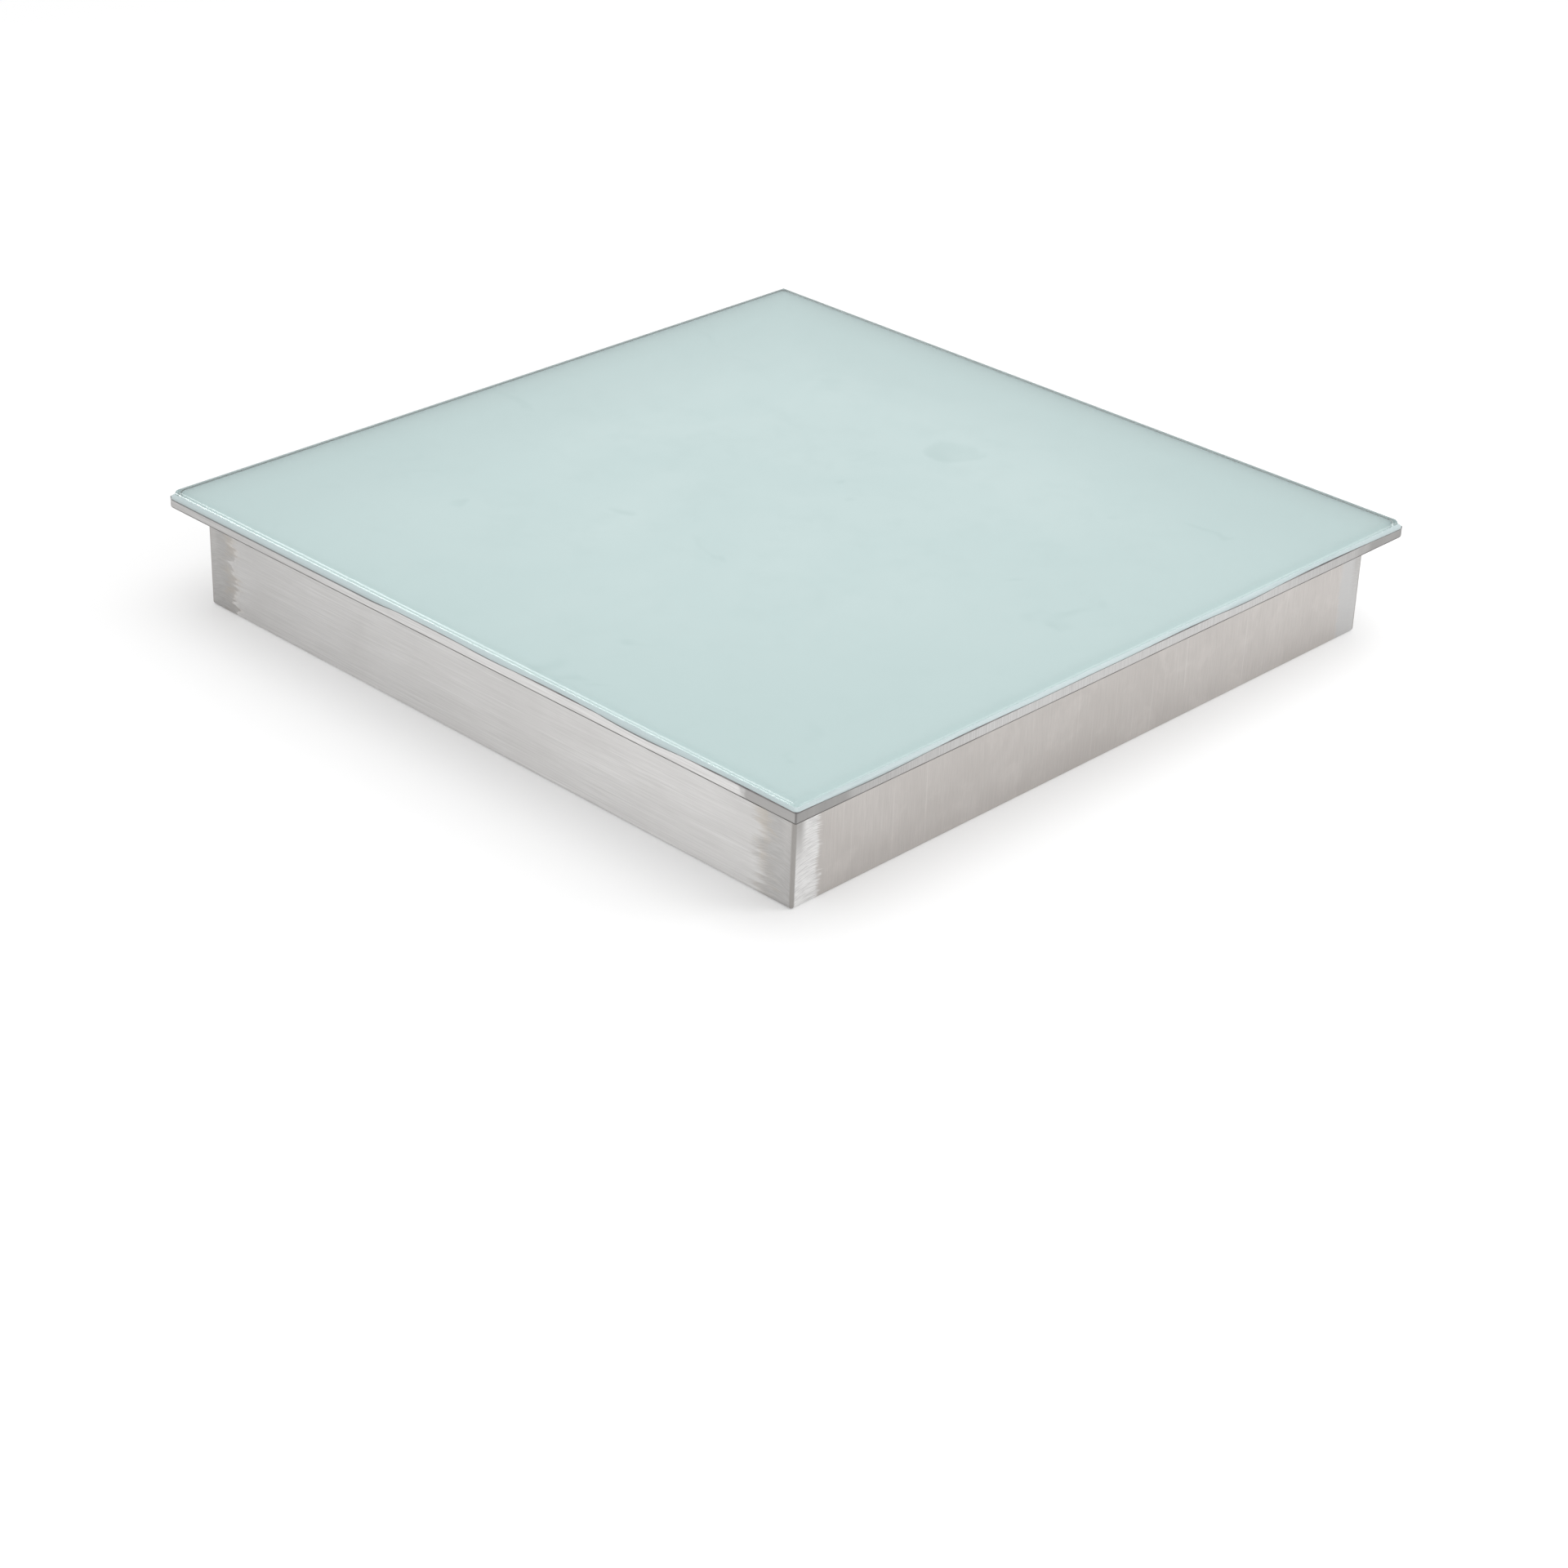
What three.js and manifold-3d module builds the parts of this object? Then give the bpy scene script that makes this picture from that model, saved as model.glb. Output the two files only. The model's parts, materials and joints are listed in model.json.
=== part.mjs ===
// Lift-out deck hatch cover: a glass pane bonded into a folded stainless tray.
//
// The tray is one sheet: a square pan, a flange folded out from its rim and a lip folded up
// round the flange. The pan drops into the opening in the deck and the flange rests on its edge.
// Inside, halved ribs carry the glass through rubber channels, and foam blocks fill the cells.
//
// Units are millimetres and +Z is up. The origin is the middle of the pan's underside.

import * as THREE from 'three';
import { mergeVertices } from 'three/addons/utils/BufferGeometryUtils.js';
import Module from 'manifold-3d';

const wasm = await Module();
wasm.setup();

// ---------------------------------------------------------------- driving dimensions

// Tray
const hatchWidth = 500; // along X, over the lip
const hatchLength = 500; // along Y, over the lip
const panDepth = 60; // pan underside to flange underside
const flangeOverhang = 15; // wall face to lip face
const lipHeight = 7.5; // flange underside to lip edge
const sheet = 1.2; // stainless sheet
const bendInside = 0.8; // inside radius of every fold
const wallCornerRadius = 1.5; // upright pan corners, welded and ground
const lipCornerRadius = 1; // lip corners, welded and ground
const reliefDiameter = 2; // bend relief at each corner of the pan, under the flange

// Glass, the white layer on its back, and what bonds them
const glassThickness = 8;
const glassEdgeClearance = 0.3; // glass edge to the inside of the lip
const glassCornerRadius = 2.5; // seen from above
const glassUpperArris = 1.8; // radius of the polished top edge
const glassLowerArris = 0.5;
const opalThickness = 0.5;
const opalMargin = 1; // edge of the white layer in from the edge of the glass
const tapeThickness = 1.6;
const tapeWidth = 6;
const tapeInset = 3; // inner edge of the tape out from the inside of the pan wall
const beadWidth = 3.5; // silicone beside the tape
const sealHeight = 1; // silicone fillet along the top of the lip

// Ribs, rubber and foam
const ribsAlongX = 2;
const ribsAlongY = 2;
const ribThickness = 2;
const ribCornerSnip = 2.5; // clears the fold at the pan's floor
const slotClearance = 0.3; // on each side of a halved joint
const rubberTop = 3; // rubber between rib and glass
const rubberLeg = 8; // how far the rubber grips down the rib
const rubberWall = 2;
const foamClearance = 1; // foam to everything beside it and above it
const foamChamfer = 2; // cut along the foam's upper edges

// Space left between solids that are bonded or welded together on the real hatch
const gap = 0.2;

// ---------------------------------------------------------------- sizes that follow

const bendOutside = bendInside + sheet;
const halfWidth = hatchWidth / 2;
const halfLength = hatchLength / 2;
const panHalfWidth = halfWidth - flangeOverhang;
const panHalfLength = halfLength - flangeOverhang;
const insideHalfWidth = panHalfWidth - sheet;
const insideHalfLength = panHalfLength - sheet;

const flangeTop = panDepth + sheet;
const lipTop = panDepth + lipHeight;
const tapeBottom = flangeTop + gap;
const tapeUpper = tapeBottom + tapeThickness;
const opalBottom = tapeUpper + gap;
const glassBottom = opalBottom + opalThickness + gap;

const glassHalfWidth = halfWidth - sheet - glassEdgeClearance;
const glassHalfLength = halfLength - sheet - glassEdgeClearance;

const ribBottom = sheet + gap;
const rubberUpper = opalBottom - gap;
const ribUpper = rubberUpper - rubberTop - gap;
const rubberLower = ribUpper - rubberLeg;
const rubberHalf = ribThickness / 2 + gap + rubberWall;

// ---------------------------------------------------------------- finishes

const finish = (colour, roughness, metalness, more = {}) =>
  new THREE.MeshStandardMaterial({ color: colour, roughness, metalness, ...more });

const brushedSteel = finish('#c4c1bd', 0.34, 1);
const clearGlass = finish('#cfe6e4', 0.05, 0, { transparent: true, opacity: 0.35 });
const opalWhite = finish('#cfe0de', 0.55, 0);
const clearSilicone = finish('#b9bdbb', 0.45, 0);
const whiteTape = finish('#e4e4df', 0.8, 0);
const ribSteel = finish('#a9a8a5', 0.42, 1);
const blackRubber = finish('#1d1e1f', 0.75, 0);
const creamFoam = finish('#e3d7b4', 0.95, 0);

// ---------------------------------------------------------------- making shapes

const ARC_DIVISIONS = 3; // a Path gives an arc twice this many straight steps
const CORNER_STEPS = 4; // straight steps round a corner that is turned on the lathe

/** The geometry as a closed solid that manifold-3d can join and cut. */
function toSolid(geometry) {
  const bare = geometry.clone();
  bare.deleteAttribute('normal');
  bare.deleteAttribute('uv');
  const merged = mergeVertices(bare, 1e-5);
  const corners = merged.index.array;
  const triangles = [];
  for (let i = 0; i < corners.length; i += 3) {
    const [a, b, c] = corners.slice(i, i + 3);
    // A lathe leaves a triangle with no area wherever its profile meets the axis.
    if (a !== b && b !== c && c !== a) {
      triangles.push(a, b, c);
    }
  }
  const vertProperties = new Float32Array(merged.attributes.position.array);
  const triVerts = new Uint32Array(triangles);
  return new wasm.Manifold(new wasm.Mesh({ numProp: 3, vertProperties, triVerts }));
}

/** A solid as a geometry with flat faces. */
function toGeometry(solid) {
  const { vertProperties, triVerts } = solid.getMesh();
  const indexed = new THREE.BufferGeometry();
  indexed.setAttribute('position', new THREE.BufferAttribute(vertProperties, 3));
  indexed.setIndex(new THREE.BufferAttribute(triVerts, 1));
  const flat = indexed.toNonIndexed();
  flat.computeVertexNormals();
  return flat;
}

/** A box between its lowest and its highest corner. */
function block([x0, y0, z0], [x1, y1, z1]) {
  const geometry = new THREE.BoxGeometry(x1 - x0, y1 - y0, z1 - z0);
  return geometry.translate((x0 + x1) / 2, (y0 + y1) / 2, (z0 + z1) / 2);
}

/** A straight-sided outline through a list of [x, y] corners. */
function polygon(corners) {
  return new THREE.Shape(corners.map(([x, y]) => new THREE.Vector2(x, y)));
}

/** A rectangle with round corners, centred on the origin. */
function roundedRectangle(halfX, halfY, radius) {
  const right = halfX - radius;
  const top = halfY - radius;
  const outline = new THREE.Shape();
  outline.moveTo(right, -halfY);
  outline.absarc(right, -top, radius, -Math.PI / 2, 0);
  outline.absarc(right, top, radius, 0, Math.PI / 2);
  outline.absarc(-right, top, radius, Math.PI / 2, Math.PI);
  outline.absarc(-right, -top, radius, Math.PI, Math.PI * 1.5);
  return outline;
}

/** An upright prism of an outline that lies in XY, from z0 to z1. */
function prism(outline, z0, z1) {
  const geometry = new THREE.ExtrudeGeometry(outline, {
    depth: z1 - z0,
    bevelEnabled: false,
    curveSegments: ARC_DIVISIONS,
  });
  return geometry.translate(0, 0, z0);
}

/** A bar along X from x0 to x1. Its section gives Y across and Z up. */
function barAlongX(section, x0, x1) {
  const geometry = prism(section, x0, x1);
  geometry.rotateX(Math.PI / 2);
  return geometry.rotateZ(Math.PI / 2);
}

/** A bar along Y from y0 to y1. Its section gives X across and Z up. */
function barAlongY(section, y0, y1) {
  const geometry = prism(section, -y1, -y0);
  return geometry.rotateX(Math.PI / 2);
}

/**
 * A section turned round a rectangle. The section is a list of [distance out, height] pairs that
 * runs round its solid with the solid on its left. A lathe with one step to a corner makes a
 * mitred square, and more steps round the corner off. Each quarter is then moved out by spreadX
 * and spreadY, which leaves the middle of a floor where it is.
 */
function turned(section, spreadX, spreadY, cornerSteps = 1) {
  const steps = 4 * cornerSteps;
  const halfStep = Math.PI / steps;
  const profile = section.map(([out, z]) => new THREE.Vector2(out / Math.cos(halfStep), z));
  const geometry = new THREE.LatheGeometry(profile, steps, halfStep);
  geometry.rotateX(Math.PI / 2);
  const { position } = geometry.attributes;
  const onAxis = 1e-6;
  for (let i = 0; i < position.count; i += 1) {
    const x = position.getX(i);
    const y = position.getY(i);
    if (Math.hypot(x, y) > onAxis) {
      position.setXY(i, x + Math.sign(x) * spreadX, y + Math.sign(y) * spreadY);
    }
  }
  return geometry;
}

/** A block on z = 0 with its upper edges chamfered. */
function chamferedBlock(halfX, halfY, height, chamfer) {
  const half = Math.min(halfX, halfY);
  const section = [
    [0, 0],
    [half, 0],
    [half, height - chamfer],
    [half - chamfer, height],
    [0, height],
  ];
  return turned(section, halfX - half, halfY - half);
}

// ---------------------------------------------------------------- tray

/** Section of the folded sheet from the middle of the floor out to the lip and back. */
function traySection(wall) {
  const lip = wall + flangeOverhang;
  const floorFold = wall - bendOutside;
  const flangeFold = wall + bendInside;
  const lipFold = lip - bendOutside;
  const quarter = Math.PI / 2;
  const section = new THREE.Path();
  section.moveTo(0, 0);
  section.lineTo(floorFold, 0);
  section.absarc(floorFold, bendOutside, bendOutside, -quarter, 0);
  section.lineTo(wall, panDepth - bendInside);
  section.absarc(flangeFold, panDepth - bendInside, bendInside, Math.PI, quarter, true);
  section.lineTo(lipFold, panDepth);
  section.absarc(lipFold, panDepth + bendOutside, bendOutside, -quarter, 0);
  section.lineTo(lip, lipTop);
  section.lineTo(lip - sheet, lipTop);
  section.lineTo(lip - sheet, flangeTop + bendInside);
  section.absarc(lipFold, flangeTop + bendInside, bendInside, 0, -quarter, true);
  section.lineTo(flangeFold, flangeTop);
  section.absarc(flangeFold, panDepth - bendInside, bendOutside, quarter, Math.PI);
  section.lineTo(wall - sheet, bendOutside);
  section.absarc(floorFold, bendOutside, bendInside, 0, -quarter, true);
  section.lineTo(0, sheet);
  return section.getPoints(ARC_DIVISIONS).map(({ x, y }) => [x, y]);
}

function makeTray() {
  const wall = Math.min(panHalfWidth, panHalfLength);
  const folded = turned(traySection(wall), panHalfWidth - wall, panHalfLength - wall);

  // The corner welds are ground round, on the pan and on the lip.
  const cornerTop = panDepth - bendInside;
  const panOutline = roundedRectangle(panHalfWidth, panHalfLength, wallCornerRadius);
  const lipOutline = roundedRectangle(halfWidth, halfLength, lipCornerRadius);
  const groundPan = toSolid(prism(panOutline, 0, cornerTop));
  const groundLip = toSolid(prism(lipOutline, cornerTop, lipTop));
  let tray = toSolid(folded).intersect(groundPan.add(groundLip));

  const reliefRadius = reliefDiameter / 2;
  const reliefReach = 2 * bendOutside; // through the flange and the fold below it
  for (const sideX of [-1, 1]) {
    for (const sideY of [-1, 1]) {
      const relief = new THREE.CylinderGeometry(reliefRadius, reliefRadius, reliefReach, 16);
      relief.rotateX(Math.PI / 2);
      relief.translate(sideX * panHalfWidth, sideY * panHalfLength, panDepth);
      tray = tray.subtract(toSolid(relief));
    }
  }
  return toGeometry(tray);
}

// ---------------------------------------------------------------- glass and white layer

function makeGlass() {
  const radius = glassCornerRadius;
  const arrisCentre = [radius - glassUpperArris, glassThickness - glassUpperArris];
  const edge = new THREE.Path();
  edge.moveTo(0, 0);
  edge.lineTo(radius - glassLowerArris, 0);
  edge.lineTo(radius, glassLowerArris);
  edge.absarc(...arrisCentre, glassUpperArris, 0, Math.PI / 2);
  edge.lineTo(0, glassThickness);
  const section = edge.getPoints(ARC_DIVISIONS).map(({ x, y }) => [x, y]);
  return turned(section, glassHalfWidth - radius, glassHalfLength - radius, CORNER_STEPS);
}

function makeOpalLayer() {
  const outline = roundedRectangle(
    glassHalfWidth - opalMargin,
    glassHalfLength - opalMargin,
    glassCornerRadius - opalMargin,
  );
  return prism(outline, 0, opalThickness);
}

// ---------------------------------------------------------------- tape and silicone

/** A ring that follows the lip. Its section gives distances out from the face of the lip. */
function ringAtLip(section, cornerRadius, cornerSteps) {
  const fromCorner = section.map(([out, z]) => [out + cornerRadius, z]);
  const spreadX = halfWidth - cornerRadius;
  const spreadY = halfLength - cornerRadius;
  return turned([...fromCorner, fromCorner[0]], spreadX, spreadY, cornerSteps);
}

/** Silicone on the flange, between the tape and the lip. */
function makeBeddingBead() {
  const inner = tapeInset + tapeWidth + gap - sheet - flangeOverhang;
  const outer = inner + beadWidth;
  const section = [
    [inner, tapeBottom],
    [outer, tapeBottom],
    [outer, tapeUpper],
    [inner, tapeUpper],
  ];
  return ringAtLip(section, flangeOverhang, 1);
}

/** A silicone fillet that stands on the lip and leans on the edge of the glass. */
function makeEdgeSeal() {
  const inner = gap - sheet - glassEdgeClearance;
  const outer = -gap;
  const bottom = lipTop + gap;
  const section = [
    [inner, bottom],
    [outer, bottom],
    [(inner + outer) / 2, bottom + sealHeight / 3],
    [inner, bottom + sealHeight],
  ];
  const radius = glassCornerRadius + sheet + glassEdgeClearance;
  return ringAtLip(section, radius, CORNER_STEPS);
}

/** Four strips of double-sided tape, butted at the corners. */
function addTape(add) {
  const innerX = insideHalfWidth + tapeInset;
  const innerY = insideHalfLength + tapeInset;
  const outerX = innerX + tapeWidth;
  const outerY = innerY + tapeWidth;
  const sideEnd = innerY - gap;
  const strips = {
    front: [-outerX, outerX, -outerY, -innerY],
    back: [-outerX, outerX, innerY, outerY],
    left: [-outerX, -innerX, -sideEnd, sideEnd],
    right: [innerX, outerX, -sideEnd, sideEnd],
  };
  for (const [side, [x0, x1, y0, y1]] of Object.entries(strips)) {
    add(`glazing_tape_${side}`, block([x0, y0, tapeBottom], [x1, y1, tapeUpper]), whiteTape);
  }
}

// ---------------------------------------------------------------- ribs, rubber and foam

/** Centre lines of evenly spaced ribs across a pan of this half size. */
function ribLines(count, insideHalf) {
  const pitch = (2 * insideHalf) / (count + 1);
  return Array.from({ length: count }, (_, i) => -insideHalf + (i + 1) * pitch);
}

const linesAcrossY = ribLines(ribsAlongX, insideHalfLength); // ribs that run along X
const linesAcrossX = ribLines(ribsAlongY, insideHalfWidth); // ribs that run along Y

/** Outline of a flat rib, slotted at each crossing from above or from below. */
function ribOutline(halfSpan, crossings, fromAbove) {
  const slotHalf = ribThickness / 2 + slotClearance;
  const middle = (ribBottom + ribUpper) / 2;
  // The outline runs to the right along its lower edge and back along its upper edge.
  const edge = fromAbove ? ribUpper : ribBottom;
  const slotEnd = fromAbove ? middle - slotClearance : middle + slotClearance;
  const near = fromAbove ? slotHalf : -slotHalf;
  const inOrder = fromAbove ? [...crossings].reverse() : crossings;
  const slots = inOrder.flatMap((at) => [
    [at + near, edge],
    [at + near, slotEnd],
    [at - near, slotEnd],
    [at - near, edge],
  ]);
  return polygon([
    [-halfSpan, ribBottom + ribCornerSnip],
    [-halfSpan + ribCornerSnip, ribBottom],
    ...(fromAbove ? [] : slots),
    [halfSpan - ribCornerSnip, ribBottom],
    [halfSpan, ribBottom + ribCornerSnip],
    [halfSpan, ribUpper],
    ...(fromAbove ? slots : []),
    [-halfSpan, ribUpper],
  ]);
}

/** Section of the rubber channel that is pushed over a rib. */
function rubberSection() {
  const inner = ribThickness / 2 + gap;
  return polygon([
    [-rubberHalf, rubberLower],
    [-inner, rubberLower],
    [-inner, ribUpper + gap],
    [inner, ribUpper + gap],
    [inner, rubberLower],
    [rubberHalf, rubberLower],
    [rubberHalf, rubberUpper],
    [-rubberHalf, rubberUpper],
  ]);
}

/** The clear stretches from wall to wall that the crossings leave. */
function stretches(insideHalf, crossings, clearance) {
  const starts = [-insideHalf + gap, ...crossings.map((at) => at + clearance)];
  const ends = [...crossings.map((at) => at - clearance), insideHalf - gap];
  return starts.map((start, i) => [start, ends[i]]);
}

function addRibs(add) {
  const spanX = insideHalfWidth - gap;
  const spanY = insideHalfLength - gap;
  linesAcrossY.forEach((y, i) => {
    // The plate is drawn flat in XY, tipped up into XZ and moved to its line.
    const plate = prism(ribOutline(spanX, linesAcrossX, true), 0, ribThickness);
    plate.rotateX(Math.PI / 2);
    plate.translate(0, y + ribThickness / 2, 0);
    add(`rib_along_x_${i + 1}`, plate, ribSteel);
  });
  linesAcrossX.forEach((x, i) => {
    const plate = prism(ribOutline(spanY, linesAcrossY, false), 0, ribThickness);
    plate.rotateX(Math.PI / 2);
    plate.rotateZ(Math.PI / 2);
    plate.translate(x - ribThickness / 2, 0, 0);
    add(`rib_along_y_${i + 1}`, plate, ribSteel);
  });
}

function addRubber(add) {
  const clearOfCrossing = rubberHalf + gap;
  linesAcrossY.forEach((y, i) => {
    stretches(insideHalfWidth, linesAcrossX, clearOfCrossing).forEach(([x0, x1], j) => {
      const channel = barAlongX(rubberSection(), x0, x1).translate(0, y, 0);
      add(`rubber_channel_x${i + 1}_${j + 1}`, channel, blackRubber);
    });
  });
  linesAcrossX.forEach((x, i) => {
    stretches(insideHalfLength, linesAcrossY, clearOfCrossing).forEach(([y0, y1], j) => {
      const channel = barAlongY(rubberSection(), y0, y1).translate(x, 0, 0);
      add(`rubber_channel_y${i + 1}_${j + 1}`, channel, blackRubber);
    });
  });
}

function addFoam(add) {
  const clearance = ribThickness / 2 + foamClearance;
  const bottom = sheet + foamClearance;
  const height = rubberLower - foamClearance - bottom;
  const wallClearance = foamClearance - gap;
  const cellsX = stretches(insideHalfWidth - wallClearance, linesAcrossX, clearance);
  const cellsY = stretches(insideHalfLength - wallClearance, linesAcrossY, clearance);
  cellsY.forEach(([y0, y1], row) => {
    cellsX.forEach(([x0, x1], column) => {
      const foam = chamferedBlock((x1 - x0) / 2, (y1 - y0) / 2, height, foamChamfer);
      foam.translate((x0 + x1) / 2, (y0 + y1) / 2, bottom);
      add(`foam_block_${row + 1}_${column + 1}`, foam, creamFoam);
    });
  });
}

// ---------------------------------------------------------------- assembly

const hatch = new THREE.Group();

function addPiece(name, geometry, material, lift = 0) {
  const mesh = new THREE.Mesh(geometry, material);
  mesh.name = name;
  mesh.position.z = lift;
  hatch.add(mesh);
}

addPiece('tray', makeTray(), brushedSteel);
addPiece('glass_pane', makeGlass(), clearGlass, glassBottom);
addPiece('opal_layer', makeOpalLayer(), opalWhite, opalBottom);
addPiece('edge_seal', makeEdgeSeal(), clearSilicone);
addPiece('bedding_bead', makeBeddingBead(), clearSilicone);
addTape(addPiece);
addRibs(addPiece);
addRubber(addPiece);
addFoam(addPiece);

export default hatch;
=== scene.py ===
# %% [markdown]
# # A lift-out deck hatch cover
#
# The cover is one stainless sheet folded into a shallow square tray, with a flange that rests on
# the edge of the opening and a lip that holds a thick pane of glass. A milky layer behind the
# glass hides the ribs and the foam inside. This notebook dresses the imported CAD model: the
# outside pieces are made again in finer detail, the inside pieces keep their CAD shape, and
# every one of them gets a finish made of nodes.

import bpy
import json
import math
import random
import numpy as np
from mathutils import Matrix, Vector


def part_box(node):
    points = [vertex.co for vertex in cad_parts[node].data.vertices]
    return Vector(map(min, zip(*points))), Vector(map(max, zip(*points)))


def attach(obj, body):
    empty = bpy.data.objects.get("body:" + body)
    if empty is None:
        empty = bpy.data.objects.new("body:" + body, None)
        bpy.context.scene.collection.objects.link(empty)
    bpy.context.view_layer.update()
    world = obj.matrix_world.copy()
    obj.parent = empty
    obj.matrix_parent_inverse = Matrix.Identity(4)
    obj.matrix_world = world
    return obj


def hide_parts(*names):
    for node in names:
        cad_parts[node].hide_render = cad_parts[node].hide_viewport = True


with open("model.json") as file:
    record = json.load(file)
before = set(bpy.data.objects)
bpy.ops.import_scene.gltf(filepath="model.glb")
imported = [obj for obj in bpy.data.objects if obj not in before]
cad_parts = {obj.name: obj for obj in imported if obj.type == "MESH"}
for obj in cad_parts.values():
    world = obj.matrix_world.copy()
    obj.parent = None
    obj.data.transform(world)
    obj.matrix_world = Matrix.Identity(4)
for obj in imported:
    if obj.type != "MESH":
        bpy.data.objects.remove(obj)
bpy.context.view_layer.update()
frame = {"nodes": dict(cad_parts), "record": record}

# %% [markdown]
# ## The sizes that matter
#
# Everything below follows from a few places on the CAD model, so they are read from it rather
# than typed in again. Only what a maker would know without the model is given here: the sheet's
# thickness, how tight its folds are, how round the corners and the glass edge are ground, how far
# the milky layer and the silicone reach into the glass, and how wide the ground strips beside the
# upright corners are and how steeply their strokes rise. All lengths are in metres.

# %% Read the sizes
mm = 0.001
mounts = {m["name"]: m["pos_m"] for m in frame["record"]["mounts"]}
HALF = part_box("tray")[1].x
LIP_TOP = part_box("tray")[1].z
WALL = mounts["pan_wall_right"][0]
FLANGE = mounts["flange_seat"][2]
GLASS_LOW, GLASS_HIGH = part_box("glass_pane")
OPAL_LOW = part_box("opal_layer")[0]
SHEET = 1.2 * mm
FOLD_INSIDE = 0.8 * mm
INNER_CORNER, GLASS_CORNER = 0.5 * mm, 2.5 * mm
ROUND_EDGE, LOWER_BEVEL = 3.5 * mm, 0.5 * mm
MILKY_INTO_GLASS, SEAL_INTO_GLASS = 0.03 * mm, 0.2 * mm
GROUND_STRIP = 27.5 * mm
STROKE_SLOPE = math.radians(22)
print(f"tray {2 * HALF / mm:.0f} mm square, pan {2 * WALL / mm:.0f} mm square")
print(f"flange {FLANGE / mm:.0f} mm up")

# %% [markdown]
# ## Going round a square
#
# The tray, the glass and the silicone are all a section carried round a square with slightly
# rounded corners. One helper gives the points of such a ring, always the same number and in the
# same order, so that two rings can be joined by a strip of faces. The points crowd together
# toward the corners, where hand work has left the metal least even.


# %% Rings and skins
SIDE_STEPS = 72
CORNER_STEPS = 6
RING = 4 * (SIDE_STEPS + CORNER_STEPS)


def crowd(t):
    """Moves evenly spaced numbers from -1 to 1 toward the two ends."""
    return 0.72 * t + 0.28 * math.sin(t * math.pi / 2)


def square_ring(half, radius):
    """Points round a square, starting with the side that faces -Y."""
    flat = half - radius
    quarter = [(flat * crowd(-1 + 2 * i / SIDE_STEPS), -half) for i in range(SIDE_STEPS)]
    for j in range(CORNER_STEPS):
        angle = -math.pi / 2 + math.pi / 2 * j / CORNER_STEPS
        quarter.append((flat + radius * math.cos(angle), -flat + radius * math.sin(angle)))
    ring = []
    for side in range(4):
        c, s = [(1, 0), (0, 1), (-1, 0), (0, -1)][side]
        ring += [(x * c - y * s, x * s + y * c) for x, y in quarter]
    return ring


def side_of_face(i):
    """The side that the face after ring point i belongs to; a corner is shared by two sides."""
    side, step = divmod(i % RING, SIDE_STEPS + CORNER_STEPS)
    return (side + (step - SIDE_STEPS >= CORNER_STEPS / 2)) % 4


def skin(name, rings, wrap=False, holes=()):
    """A mesh through rings of points. The rings run so that the outside is on their right.

    A wrapped skin joins its last ring to its first; any other is closed by a face at each end.

    A hole gives its first and last ring on the outside and its first and last point on a ring. It
    goes through to the same place on the inside, whose rings come in the opposite order.
    """
    verts = [p for ring in rings for p in ring]
    faces = []
    count = len(rings)
    missing = set()
    for first, last, start, end in holes:
        for r in range(first, last):
            missing.update((row, i) for row in (r, count - 2 - r) for i in range(start, end))
        around = [(first, i) for i in range(start, end)]
        around += [(r, end) for r in range(first, last)]
        around += [(last, i) for i in range(end, start, -1)]
        around += [(r, start) for r in range(last, first, -1)]
        outer = [r * RING + i for r, i in around]
        inner = [(count - 1 - r) * RING + i for r, i in around]
        for k in range(len(around)):
            faces.append((outer[k - 1], outer[k], inner[k], inner[k - 1]))
    for r in range(count if wrap else count - 1):
        a, b = r * RING, ((r + 1) % count) * RING
        for i in range(RING):
            if (r, i) in missing:
                continue
            j = (i + 1) % RING
            faces.append((a + i, a + j, b + j, b + i))
    if not wrap:
        faces.append(tuple(reversed(range(RING))))
        faces.append(tuple((count - 1) * RING + i for i in range(RING)))
    mesh = bpy.data.meshes.new(name)
    mesh.from_pydata(verts, [], faces)
    mesh.validate()
    obj = bpy.data.objects.new(name, mesh)
    bpy.context.scene.collection.objects.link(obj)
    return obj


def smooth_by_angle(obj, degrees):
    """Shades faces smooth and keeps the edges that are sharper than this."""
    mesh = obj.data
    mesh.polygons.foreach_set("use_smooth", [True] * len(mesh.polygons))
    mesh.set_sharp_from_angle(angle=math.radians(degrees))
    mesh.update()


def ripple(seed, waves, length):
    """A smooth uneven line round the hatch: waves of about this length, between -1 and 1."""
    rng = random.Random(seed)
    turns = []
    for _ in range(waves):
        times_round = round(8 * HALF / (length * rng.uniform(0.5, 1.6)))
        turns.append((times_round, rng.uniform(0, 6.28)))

    def height(x, y):
        bearing = math.atan2(y, x)
        return sum(math.sin(bearing * count + phase) for count, phase in turns) / waves

    return height


# %% [markdown]
# ## The folded tray
#
# A press brake folds the sheet three times on each side: up for the wall, out for the flange and
# up again for the lip. The sheet keeps its thickness through every fold, so the section is drawn
# as its middle line and given half the thickness to each side. Folding leaves the walls very
# slightly full, and the lip's edge is wavy where it was trimmed and ground by hand.
#
# The brushing was on the flat sheet before it was folded, and it ran one way. A second set of
# coordinates therefore gives every face its place on the flat sheet, and the finish later on is
# drawn there. That is why two walls are brushed lengthways and two upright.


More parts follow.
